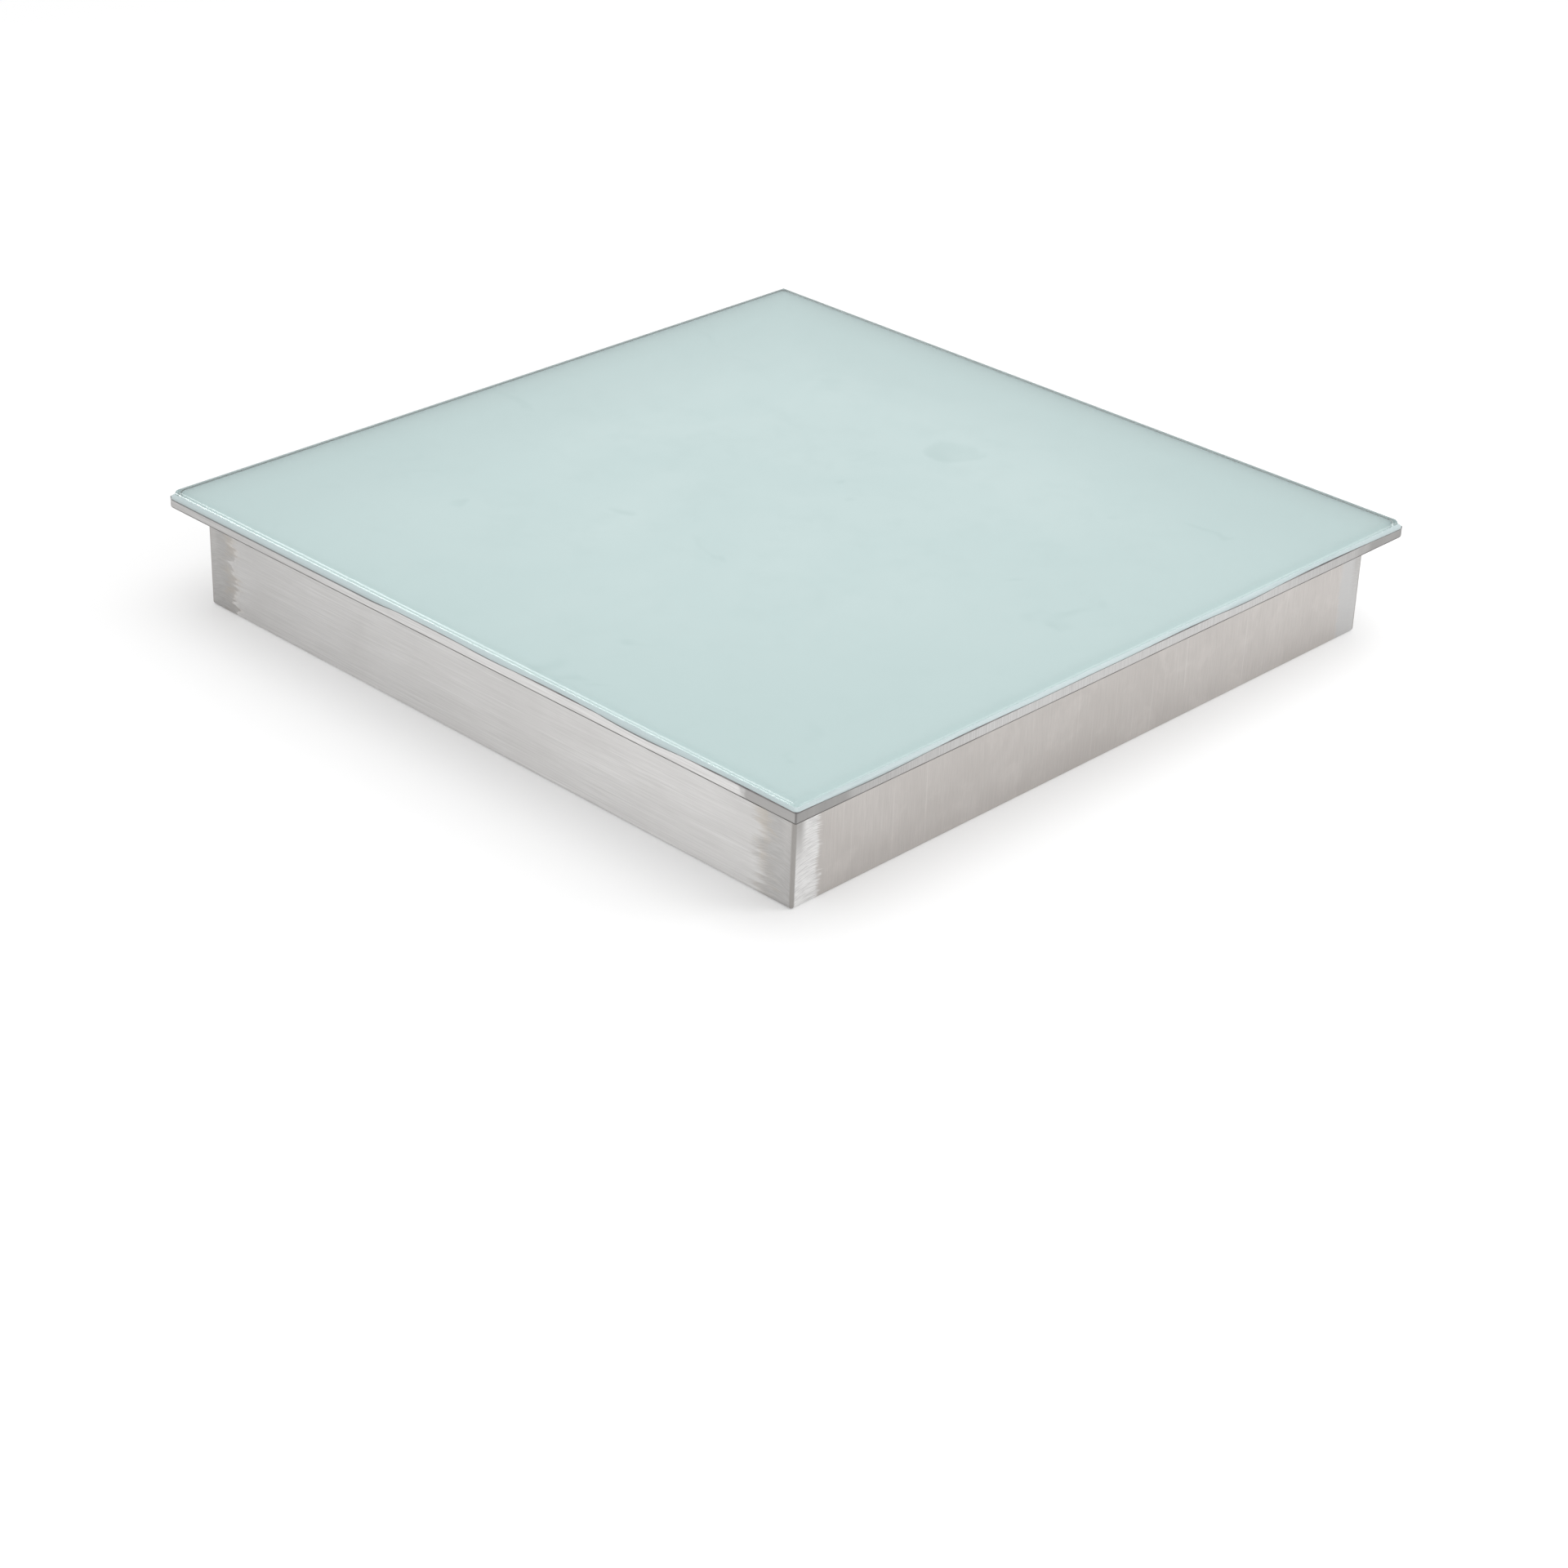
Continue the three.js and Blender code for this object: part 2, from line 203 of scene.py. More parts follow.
# %% Make the tray
def middle_line():
    """Points, directions and travelled lengths along the middle of the sheet, centre to lip."""
    radius = FOLD_INSIDE + SHEET / 2
    outer = FOLD_INSIDE + SHEET
    path = []

    def straight(a, b, cuts):
        for t in cuts:
            path.append((a[0] + (b[0] - a[0]) * t, a[1] + (b[1] - a[1]) * t))

    def fold(centre, start, end, steps=7):
        for i in range(steps + 1):
            angle = math.radians(start + (end - start) * i / steps)
            reach, rise = radius * math.cos(angle), radius * math.sin(angle)
            path.append((centre[0] + reach, centre[1] + rise))

    straight((0, SHEET / 2), (WALL - outer, SHEET / 2), (0.1, 0.4, 0.7, 0.9, 0.97, 0.995))
    fold((WALL - outer, outer), -90, 0)
    foot, head = (WALL - SHEET / 2, outer), (WALL - SHEET / 2, FLANGE - FOLD_INSIDE)
    straight(foot, head, (0.01, 0.08, 0.2, 0.35, 0.5, 0.65, 0.8, 0.92, 0.99))
    fold((WALL + FOLD_INSIDE, FLANGE - FOLD_INSIDE), 180, 90)
    out_from, out_to = WALL + FOLD_INSIDE, HALF - outer
    straight((out_from, FLANGE + SHEET / 2), (out_to, FLANGE + SHEET / 2), (0.03, 0.35, 0.65, 0.97))
    fold((HALF - outer, FLANGE + outer), -90, 0)
    lip_foot = (HALF - SHEET / 2, FLANGE + outer)
    straight(lip_foot, (HALF - SHEET / 2, LIP_TOP), (0.06, 0.3, 0.6, 0.94, 1.0))
    heading, travelled = [], [path[0][0]]
    for i, (d, z) in enumerate(path):
        before, after = path[max(i - 1, 0)], path[min(i + 1, len(path) - 1)]
        length = math.hypot(after[0] - before[0], after[1] - before[1])
        heading.append(((after[0] - before[0]) / length, (after[1] - before[1]) / length))
        if i:
            travelled.append(travelled[-1] + math.hypot(d - path[i - 1][0], z - path[i - 1][1]))
    return path, heading, travelled


def corner_radius(d, outside):
    """Ground round on the outside of the pan and of the lip, and almost sharp inside."""
    if not outside:
        return INNER_CORNER
    share = min(max((d - WALL) / (HALF - WALL), 0), 1)
    return (1.5 - 0.4 * share) * mm


def wall_fullness(x, y, z):
    """How far a wall stands out from flat. It is greatest at the middle of the wall."""
    along = min(abs(x), abs(y)) / WALL
    up = min(max(z / FLANGE, 0), 1)
    return 0.35 * mm * (1 - along**2) * math.sin(math.pi * up) ** 1.2


lip_edge = ripple(3, 9, 0.05)
lip_face = ripple(8, 5, 0.09)


def make_tray():
    path, heading, travelled = middle_line()
    section = []
    last = len(path) - 1
    for i in range(len(path)):
        (d, z), (hd, hz) = path[i], heading[i]
        section.append((d + hz * SHEET / 2, z - hd * SHEET / 2, travelled[i], True, i == last))
    for i in reversed(range(len(path))):
        (d, z), (hd, hz) = path[i], heading[i]
        section.append((d - hz * SHEET / 2, z + hd * SHEET / 2, travelled[i], False, i == last))
    rings = []
    for d, z, s, outside, at_edge in section:
        ring = []
        for x, y in square_ring(d, corner_radius(d, outside)):
            up = z
            push = wall_fullness(x, y, z) if abs(d - WALL) < 2 * SHEET else 0
            if at_edge:
                up -= (0.14 + 0.13 * lip_edge(x, y)) * mm
            if z > FLANGE + 3 * mm:
                push -= (0.05 + 0.05 * lip_face(x, y)) * mm
            nudge = 1 + push / max(abs(x), abs(y), mm)
            ring.append((x * nudge, y, up) if abs(x) > abs(y) else (x, y * nudge, up))
        rings.append(ring)
    # A small relief hole where the folds meet keeps the corner from tearing.
    head = [i for i, (d, z) in enumerate(path) if d < WALL + SHEET and z < FLANGE + SHEET]
    holes = []
    for side in range(4):
        corner = side * (SIDE_STEPS + CORNER_STEPS) + SIDE_STEPS
        holes.append((head[-7], head[-1], corner, corner + CORNER_STEPS - 1))
    tray = skin("tray_folded_sheet", rings, holes=holes)

    # Where each corner of each face lies on the flat sheet, and which way the brushing runs.
    mesh = tray.data
    outward = [Vector((0, -1, 0)), Vector((1, 0, 0)), Vector((0, 1, 0)), Vector((-1, 0, 0))]
    place, across, across_stroke = [], [], []
    for face in mesh.polygons:
        strip = len(face.vertices) == 4
        columns = [v % RING for v in face.vertices]
        rows = [v // RING for v in face.vertices]
        wraps = max(columns) - min(columns) > 1
        side = side_of_face(RING - 1 if wraps else min(columns)) if strip else 0
        out = outward[side]
        a, b = section[min(rows)], section[max(rows)]
        run = Vector((b[0] - a[0], b[1] - a[1]))
        run = run.normalized() if strip and run.length > 0 else Vector((1, 0))
        down_the_sheet = out * run.x + Vector((0, 0, run.y))
        grain_across = down_the_sheet if side % 2 == 0 else Vector((0, 1, 0))
        sideways = Vector((0, 0, 1)).cross(out)
        for loop in face.loop_indices:
            vertex = mesh.loops[loop].vertex_index
            x, y, z = mesh.vertices[vertex].co
            s = section[vertex // RING][2]
            place.append([(x, -s), (s, y), (x, s), (-s, y)][side] if strip else (x, y))
            across.append(grain_across)
            toward_middle = -1 if sideways.dot(Vector((x, y, 0))) > 0 else 1
            stroke = sideways * toward_middle * math.cos(STROKE_SLOPE)
            stroke += Vector((0, 0, math.sin(STROKE_SLOPE)))
            across_stroke.append(stroke.cross(out))
    mesh.uv_layers.new(name="blank")
    mesh.uv_layers["blank"].uv.foreach_set("vector", np.array(place, np.float32).ravel())
    for name, values in (("across_grain", across), ("across_stroke", across_stroke)):
        mesh.attributes.new(name, "FLOAT_VECTOR", "CORNER")
        mesh.attributes[name].data.foreach_set("vector", np.array(values, np.float32).ravel())
    smooth_by_angle(tray, 35)
    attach(tray, "root")
    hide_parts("tray")
    return tray


tray = make_tray()
print("tray:", len(tray.data.polygons), "faces")

# %% [markdown]
# ## The glass pane
#
# The pane is 8 mm thick, and its upper edge is rounded like a pencil. A round edge shows a lamp as
# a thin bright line, so it gets many narrow faces, or the line would jump from face to face.
# Polishing by hand makes it a little uneven, which lets the line wander.


# %% Make the glass
polish = ripple(21, 7, 0.06)


def make_glass():
    half = GLASS_HIGH.x
    low, high = GLASS_LOW.z, GLASS_HIGH.z
    edge, lower, steps = ROUND_EDGE, LOWER_BEVEL, 18
    profile = [(half - 40 * mm, low), (half - lower - 0.4 * mm, low)]
    profile += [(half - lower, low), (half, low + lower)]
    profile += [(half, low + lower + 0.4 * mm), (half, high - edge - 0.3 * mm)]
    for i in range(steps + 1):
        angle = math.pi / 2 * i / steps
        out = half - edge + edge * math.cos(angle)
        profile.append((out, high - edge + edge * math.sin(angle)))
    profile += [(half - edge - 0.5 * mm, high), (half - 12 * mm, high), (half - 40 * mm, high)]
    rings = []
    for d, z in profile:
        radius = max(GLASS_CORNER - (half - d), 0.4 * mm)
        # The polishing is least even half way over the round edge.
        share = max(0, min(1, (z - high + edge) / edge)) if d > half - edge - 0.1 * mm else 0
        ease = 0.012 * mm * math.sin(math.pi * share)
        ring = []
        for x, y in square_ring(d, radius):
            swell = 1 + ease * polish(x, y) / half
            ring.append((x * swell, y * swell, z))
        rings.append(ring)
    glass = skin("glass_polished_pane", rings)
    smooth_by_angle(glass, 40)
    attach(glass, "root")
    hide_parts("glass_pane")
    return glass


glass = make_glass()
print("glass:", len(glass.data.polygons), "faces")

# %% [markdown]
# ## The milky layer
#
# The white layer is stuck to the back of the glass with no air between them. That matters for
# the look: with air in between, light inside the glass would be trapped and the edges would turn
# black. The layer is therefore made a hair's breadth into the glass, and almost out to its edge.


# %% Make the milky layer
def make_milky_layer():
    half = GLASS_HIGH.x - 0.6 * mm
    top, bottom = GLASS_LOW.z + MILKY_INTO_GLASS, OPAL_LOW.z
    rings = [[(x, y, z) for x, y in square_ring(half, 2 * mm)] for z in (bottom, top)]
    layer = skin("milky_layer", rings)
    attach(layer, "root")
    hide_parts("opal_layer")
    return layer


milky = make_milky_layer()
print("milky layer top at", round(GLASS_LOW.z / mm, 2), "mm")

# %% [markdown]
# ## The silicone at the edge
#
# Clear silicone fills the narrow gap between the glass and the lip, and ends in a small bead on
# top. It was drawn along by hand and wiped with a finger, so its height wanders, and here and
# there it runs over the lip's edge and a little way down its face. The silicone wets the glass,
# so like the milky layer it is made slightly into it.


# %% Make the seal
seal_height = ripple(30, 11, 0.035)
seal_cover = ripple(37, 6, 0.11)


def make_edge_seal():
    inner = GLASS_HIGH.x - SEAL_INTO_GLASS
    bottom = GLASS_LOW.z + 0.8 * mm
    gap_out = HALF - SHEET - 0.05 * mm
    steps = 6
    columns = []
    for x, y in square_ring(1, 0.012):
        height = (1.5 + 0.45 * seal_height(x, y)) * mm
        cover = 0.15 + 2.2 * seal_cover(x, y)
        if y < -0.95:
            # On this side the silicone was spread right over the lip for a third of the way.
            cover += 2.5 * max(0, min(1, (-x - 0.2) / 0.2))
        cover = max(-1, min(1, cover))
        reach = HALF + 0.07 * mm - max(0, -cover) * 0.8 * mm
        droop = max(0, cover) * 1.9 * mm
        column = [(inner, bottom), (gap_out, bottom), (gap_out, LIP_TOP - 0.5 * mm)]
        column.append((reach - 0.12 * mm, LIP_TOP - droop - 0.3 * mm))
        column.append((reach, LIP_TOP - droop - 0.1 * mm))
        for i in range(steps + 1):
            t = math.pi / 2 * i / steps
            out = inner + (reach - inner) * math.cos(t) ** 0.9
            rise = height * (1 - math.cos(t)) + 0.12 * mm * math.sin(t)
            column.append((out, LIP_TOP - 0.05 * mm + rise))
        columns.append(column)
    rings = []
    for r in range(len(columns[0])):
        ring = []
        for (x, y), column in zip(square_ring(inner, GLASS_CORNER), columns):
            out, z = column[r]
            # A point on a corner moves out along the corner, not along one side.
            swell = 1 + (out - inner) / max(abs(x), abs(y))
            ring.append((x * swell, y * swell, z))
        rings.append(ring)
    seal = skin("edge_seal_bead", rings, wrap=True)
    # The thin lower rim of the bead is marked, so the finish can paint shade along it.
    seal.data.attributes.new("rim", "FLOAT", "POINT")
    rim = [1.0 if i // RING in (2, 3, 4) else 0.0 for i in range(len(rings) * RING)]
    seal.data.attributes["rim"].data.foreach_set("value", rim)
    smooth_by_angle(seal, 50)
    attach(seal, "root")
    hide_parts("edge_seal")
    return seal


seal = make_edge_seal()
print("seal:", len(seal.data.polygons), "faces")

# %% [markdown]
# ## Short ways to place nodes
#
# Every finish below is a handful of the same nodes: sums and products, a noise, a smooth step
# from one value to another, a mix of two colours and a bump. These helpers add a node or a few
# and return the output, so that a finish can be read from top to bottom like a recipe.


# %% Node helpers
def put(tree, socket, value):
    """Links the socket to another one, or sets it to a number, a colour or a vector."""
    if isinstance(value, bpy.types.NodeSocket):
        tree.links.new(value, socket)
    elif value is not None:
        socket.default_value = value


def calc(tree, operation, a, b=0.0, c=0.0):
    made = tree.nodes.new("ShaderNodeMath")
    made.operation = operation
    for socket, value in zip(made.inputs, (a, b, c)):
        put(tree, socket, value)
    return made.outputs[0]


def plus(tree, a, b):
    return calc(tree, "ADD", a, b)


def minus(tree, a, b):
    return calc(tree, "SUBTRACT", a, b)


def times(tree, *values):
    product = values[0]
    for value in values[1:]:
        product = calc(tree, "MULTIPLY", product, value)
    return product


def distance(tree, *offsets):
    """How far away a point is, from its offsets along two or three directions."""
    total = calc(tree, "POWER", offsets[0], 2)
    for offset in offsets[1:]:
        total = plus(tree, total, calc(tree, "POWER", offset, 2))
    return calc(tree, "SQRT", total)


def vector(tree, x, y, z=0.0):
    made = tree.nodes.new("ShaderNodeCombineXYZ")
    for socket, value in zip(made.inputs, (x, y, z)):
        put(tree, socket, value)
    return made.outputs[0]


def parts(tree, value):
    made = tree.nodes.new("ShaderNodeSeparateXYZ")
    put(tree, made.inputs[0], value)
    return made.outputs[0], made.outputs[1], made.outputs[2]


def noise(tree, where, scale=1.0, detail=2.0, roughness=0.5, distortion=0.0):
    made = tree.nodes.new("ShaderNodeTexNoise")
    put(tree, made.inputs["Vector"], where)
    put(tree, made.inputs["Scale"], scale)
    put(tree, made.inputs["Detail"], detail)
    put(tree, made.inputs["Roughness"], roughness)
    put(tree, made.inputs["Distortion"], distortion)
    return made.outputs["Fac"]


def step(tree, value, low, high, at_low=0.0, at_high=1.0):
    """Runs smoothly from at_low to at_high as the value goes from low to high."""
    made = tree.nodes.new("ShaderNodeMapRange")
    made.interpolation_type = "SMOOTHSTEP"
    put(tree, made.inputs["Value"], value)
    put(tree, made.inputs["From Min"], low)
    put(tree, made.inputs["From Max"], high)
    put(tree, made.inputs["To Min"], at_low)
    put(tree, made.inputs["To Max"], at_high)
    return made.outputs["Result"]


def blend(tree, share, a, b, mode="MIX"):
    made = tree.nodes.new("ShaderNodeMix")
    made.data_type = "RGBA"
    made.blend_type = mode
    put(tree, made.inputs[0], share)
    put(tree, made.inputs[6], a)
    put(tree, made.inputs[7], b)
    return made.outputs[2]


def blend_vectors(tree, share, a, b):
    made = tree.nodes.new("ShaderNodeMix")
    made.data_type = "VECTOR"
    put(tree, made.inputs[0], share)
    put(tree, made.inputs[4], a)
    put(tree, made.inputs[5], b)
    return made.outputs[1]


def bump(tree, height, strength, depth, under=None):
    """Relief drawn from a height; strength fades it, and depth is how deep it may go."""
    made = tree.nodes.new("ShaderNodeBump")
    put(tree, made.inputs["Height"], height)
    put(tree, made.inputs["Strength"], strength)
    put(tree, made.inputs["Distance"], depth)
    if under is not None:
        put(tree, made.inputs["Normal"], under)
    return made.outputs["Normal"]


def grey(level, warmth=0.0):
    """A nearly neutral colour; warmth above 0 leans to yellow and below 0 to blue."""
    return (level * (1 + warmth), level, level * (1 - warmth), 1.0)


def finish_called(name):
    """A new finish: its material, its node tree and its main shader."""
    material = bpy.data.materials.new(name)
    material.use_nodes = True
    tree = material.node_tree
    return material, tree, tree.nodes["Principled BSDF"]


def places(tree):
    """The place of a point on the piece, in metres, as one vector and as x, y and z."""
    coords = tree.nodes.new("ShaderNodeTexCoord").outputs["Object"]
    return (coords, *parts(tree, coords))


def from_axis(tree, x, y):
    """How far out a point lies, measured square to the side that it is nearest to."""
    return calc(tree, "MAXIMUM", calc(tree, "ABSOLUTE", x), calc(tree, "ABSOLUTE", y))


# %% [markdown]
# ## The brushed sheet
#
# The finish has five layers. Fine brushing and broader streaks follow the flat sheet. Clouds of
# slightly different grey come from handling. Both sides of an upright corner were ground after
# welding, with short strokes that rise away from the corner. Heat from the weld left straw and
# blue at the flange. The lip was dressed with a coarser disc near its corners. On top of these,
# some greys are painted light and shade: a warm painted reflection on the upright walls, lighter
# and darker ground strips, and dark painted shade along the lip's top edge and lower fold.
#
# Brushed metal spreads a reflection across its scratches, so the shader is anisotropic and is
# told which way "across" is, on the brushed sheet and in the ground strips.


# %% Brushed sheet
UPRIGHT_REFLECTION_TINT = (1.0, 0.965, 0.94, 1)
WARM_GREY = (0.47, 0.43, 0.38, 1)
WELD_BROWN = (0.25, 0.22, 0.2, 1)
STRAW = (0.66, 0.52, 0.31, 1)
BURNT_BLUE = (0.14, 0.12, 0.15, 1)
LIP_TOP_SHADE = (0.16, 0.15, 0.15, 1)
FOLD_SHADE = (0.07, 0.065, 0.06, 1)


def carried(tree, name):
    """Reads a value that the mesh itself carries under this name."""
    made = tree.nodes.new("ShaderNodeAttribute")
    made.attribute_name = name
    return made


def stretched(tree, u, v, along, over, detail=2.0, w=0.0):
    """Noise drawn out into streaks: along and over are how many streaks there are to a metre."""
    where = vector(tree, times(tree, u, along), times(tree, v, over), w)
    return noise(tree, where, 1, detail, 0.6)


def brushed_sheet():
    material, tree, shader = finish_called("brushed_stainless_sheet")
    coords, x, y, z = places(tree)
    across_x, across_y = calc(tree, "ABSOLUTE", x), calc(tree, "ABSOLUTE", y)
    out = calc(tree, "MAXIMUM", across_x, across_y)
    along = calc(tree, "MINIMUM", across_x, across_y)
    from_corner = minus(tree, WALL, along)
    lengthways = calc(tree, "GREATER_THAN", across_y, across_x)

    flat_sheet = tree.nodes.new("ShaderNodeUVMap")
    flat_sheet.uv_map = "blank"
    u, v, _ = parts(tree, flat_sheet.outputs[0])
    fine = stretched(tree, u, v, 26, 1250, 3)
    upright_fine = stretched(tree, u, v, 64, 1400, 3, 9.0)
    streaks = stretched(tree, u, v, 7, 300, 3, 2.0)
    broad = stretched(tree, u, v, 5, 60, 2, 5.0)
    clouds = noise(tree, coords, 13, 4, 0.55, 0.6)
    scratches = step(tree, stretched(tree, u, v, 9, 520, 1, 4.0), 0.66, 0.72)

    # Ground strips beside the upright corners. The strokes rise in a slight arc.
    arc = calc(tree, "MULTIPLY_ADD", times(tree, from_corner, from_corner), 16, z)
    flat, rise = math.cos(STROKE_SLOPE), math.sin(STROKE_SLOPE)
    stroke_along = plus(tree, times(tree, from_corner, flat), times(tree, z, rise))
    stroke_over = minus(tree, times(tree, arc, flat), times(tree, from_corner, rise))
    strokes = stretched(tree, stroke_along, stroke_over, 110, 1600, 3, times(tree, lengthways, 7))
    patches = noise(tree, coords, 95, 2, 0.5)
    ragged = calc(tree, "MULTIPLY_ADD", strokes, 9 * mm, from_corner)
    ragged = calc(tree, "MULTIPLY_ADD", patches, 10 * mm, ragged)
    wall_top = step(tree, z, FLANGE - 0.5 * mm, FLANGE - 1.5 * mm)
    wall_inside = step(tree, out, WALL - 3 * mm, WALL - 1.5 * mm)
    wall_outside = step(tree, out, WALL + 3 * mm, WALL + 1 * mm)
    on_wall = times(tree, wall_top, times(tree, wall_inside, wall_outside))
    hard = step(tree, ragged, GROUND_STRIP + 2 * mm, GROUND_STRIP - 2 * mm)
    # On the lengthways walls the end of the strip is frayed along the brushing.
    fray = times(tree, minus(tree, streaks, 0.5), 34 * mm)
    soft = step(tree, plus(tree, ragged, fray), 38 * mm, 24 * mm)
    ground = times(tree, blend(tree, lengthways, hard, soft), on_wall)
    weld_line = times(tree, step(tree, from_corner, 2.3 * mm, 1.3 * mm), on_wall)
    # The near corner is set apart: its lip ends are dressed differently, and its ground strip gets
    # a painted highlight.
    near = step(tree, minus(tree, x, y), 0.6 * WALL, 1.7 * WALL)

    # The lip: dressed ends and a seam at each corner, with painted shade as a dark line along its
    # top edge and along its lower fold.
    on_lip = step(tree, out, HALF - 1.4 * mm, HALF - 0.9 * mm)
    from_lip_corner = minus(tree, HALF, along)
    lip_ragged = calc(tree, "MULTIPLY_ADD", patches, 16 * mm, from_lip_corner)
    sharp_end = step(tree, lip_ragged, 49 * mm, 43 * mm)
    slow_end = step(tree, lip_ragged, 170 * mm, 38 * mm, 0, 0.45)
    slow_end = calc(tree, "MULTIPLY_ADD", step(tree, lip_ragged, 55 * mm, 38 * mm), 0.5, slow_end)
    far_end = step(tree, lip_ragged, 210 * mm, 10 * mm, 0, 0.3)
    ends = blend(tree, lengthways, slow_end, blend(tree, near, far_end, sharp_end))
    dressed = times(tree, ends, on_lip)
    seam = times(tree, step(tree, from_lip_corner, 1.1 * mm, 0.5 * mm), on_lip)
    painted_lip_top_shade = times(tree, step(tree, z, LIP_TOP - 1.0 * mm, LIP_TOP - 0.6 * mm), on_lip)
    over_flange = minus(tree, z, FLANGE)
    fold_start = step(tree, over_flange, 0.1 * mm, 0.3 * mm)
    fold_end = step(tree, over_flange, 1.8 * mm, 1.1 * mm)
    painted_fold_shade = times(tree, fold_start, fold_end, step(tree, out, HALF - 2.2 * mm, HALF - 1.6 * mm))

    # Heat colours round the weld, where the wall meets the flange, and a faint warm strip.
    from_weld = distance(tree, from_corner, over_flange, minus(tree, out, WALL))
    heat_distance = calc(tree, "MULTIPLY_ADD", clouds, 5 * mm, from_weld)
    straw = times(tree, step(tree, heat_distance, 13 * mm, 6 * mm), 0.8)
    burnt = step(tree, heat_distance, 5.5 * mm, 4 * mm)
    frayed = plus(tree, from_corner, fray)
    beside = times(tree, step(tree, frayed, 11 * mm, 16 * mm), step(tree, frayed, 28 * mm, 19 * mm))
    warm_patches = step(tree, patches, 0.35, 0.6, 0.15, 0.75)
    warm_strip = times(tree, beside, on_wall, warm_patches, lengthways)

    # The underside: long marks from sliding, shorter ones across them and swirls at the corners.
    inside_edge = step(tree, out, WALL - 1.5 * mm, WALL - 3 * mm)
    under = times(tree, step(tree, z, 1.0 * mm, 0.3 * mm), inside_edge)
    long_marks = step(tree, stretched(tree, x, y, 2.2, 330, 1, 11.0), 0.70, 0.73)
    turned = [calc(tree, "MULTIPLY_ADD", y, bend, x) for bend in (0.7, -1.6)]
    slid = step(tree, stretched(tree, turned[0], turned[1], 190, 4, 1, 13.0), 0.72, 0.74)
    corner_x, corner_y = minus(tree, WALL, across_x), minus(tree, WALL, across_y)
    reach = distance(tree, corner_x, corner_y)
    bearing = calc(tree, "ARCTAN2", corner_y, corner_x)
    swirls = stretched(tree, reach, bearing, 900, 1.3, 2, 15.0)
    swirls = times(tree, step(tree, swirls, 0.55, 0.7), step(tree, reach, 110 * mm, 60 * mm))
    weld_spot = step(tree, calc(tree, "MULTIPLY_ADD", clouds, 6 * mm, reach), 9 * mm, 5 * mm)

    fine_lines = step(tree, fine, 0.3, 0.7)
    faint_lines = step(tree, upright_fine, 0.3, 0.7, 0.2, 0.8)
    fine_share = blend(tree, lengthways, faint_lines, fine_lines)
    colour = blend(tree, fine_share, grey(0.52, 0.014), grey(0.62, 0.012))
    # The upright brushing is fainter than the brushing lengthways, and more clouded.
    drawn = blend(tree, lengthways, grey(0.45), grey(1.0))
    light_streaks = times(tree, step(tree, streaks, 0.35, 0.65, 0, 0.3), drawn)
    dark_bands = times(tree, step(tree, broad, 0.35, 0.65, 0, 0.25), drawn)
    colour = blend(tree, light_streaks, colour, grey(0.64, 0.012))
    colour = blend(tree, dark_bands, colour, grey(0.51, 0.014))
    colour = blend(tree, step(tree, clouds, 0.38, 0.68, 0, 0.4), colour, grey(0.50, 0.02))
    handled = step(tree, noise(tree, coords, 42, 4, 0.6, 0.4), 0.5, 0.66, 0, 0.22)
    upright = minus(tree, 1, lengthways)
    colour = blend(tree, times(tree, handled, upright), colour, grey(0.70, 0.015))
    colour = blend(tree, times(tree, scratches, 0.16), colour, grey(0.85))
    marks = calc(tree, "MAXIMUM", times(tree, long_marks, 0.5), times(tree, slid, 0.4))
    marks = calc(tree, "MAXIMUM", marks, times(tree, swirls, 0.3))
    colour = blend(tree, times(tree, marks, under), colour, grey(0.88))
    colour = blend(tree, times(tree, weld_spot, times(tree, under, 0.6)), colour, WELD_BROWN)
    # A warm painted reflection tints the upright walls, but not the underside.
    reflection_tinted = times(tree, upright, minus(tree, 1, under))
    colour = blend(tree, reflection_tinted, colour, UPRIGHT_REFLECTION_TINT, "MULTIPLY")
    # Painted light: the ground strip is much lighter on the near upright wall as a painted
    # highlight, darker on the lengthways walls, and darker near the top of each corner as painted
    # shade.
    painted_strip_sheen = blend(tree, near, grey(0.54, 0.006), grey(0.86, 0.006))
    level = blend(tree, lengthways, painted_strip_sheen, grey(0.41, 0.02))
    at_corner = step(tree, from_corner, 10 * mm, 4 * mm)
    painted_corner_shade = times(tree, at_corner, step(tree, z, 15 * mm, 50 * mm))
    level = blend(tree, painted_corner_shade, level, grey(0.46, 0.025))
    strongest = blend(tree, lengthways, grey(0.6), grey(0.35))
    stroke_share = step(tree, strokes, 0.42, 0.62, 0.0, strongest)
    stroke_grey = blend(tree, stroke_share, level, grey(0.56, 0.012))
    colour = blend(tree, ground, colour, stroke_grey)
    colour = blend(tree, times(tree, warm_strip, 0.75), colour, WARM_GREY)
    lip_grey = blend(tree, fine_lines, grey(0.52, 0.012), grey(0.64, 0.01))
    colour = blend(tree, on_lip, colour, lip_grey)
    dressed_grey_and_shade = blend(tree, patches, grey(0.29, 0.015), grey(0.39, 0.02))
    # The near lengthways lip gets a darker dressed grey, painted shade that offsets the lamp on
    # that side.
    dressed_grey_and_shade = blend(tree, times(tree, lengthways, near), dressed_grey_and_shade, grey(0.315, 0.02))
    colour = blend(tree, times(tree, dressed, 0.92), colour, dressed_grey_and_shade)
    uneven = step(tree, patches, 0.3, 0.65, 0.7, 1.0)
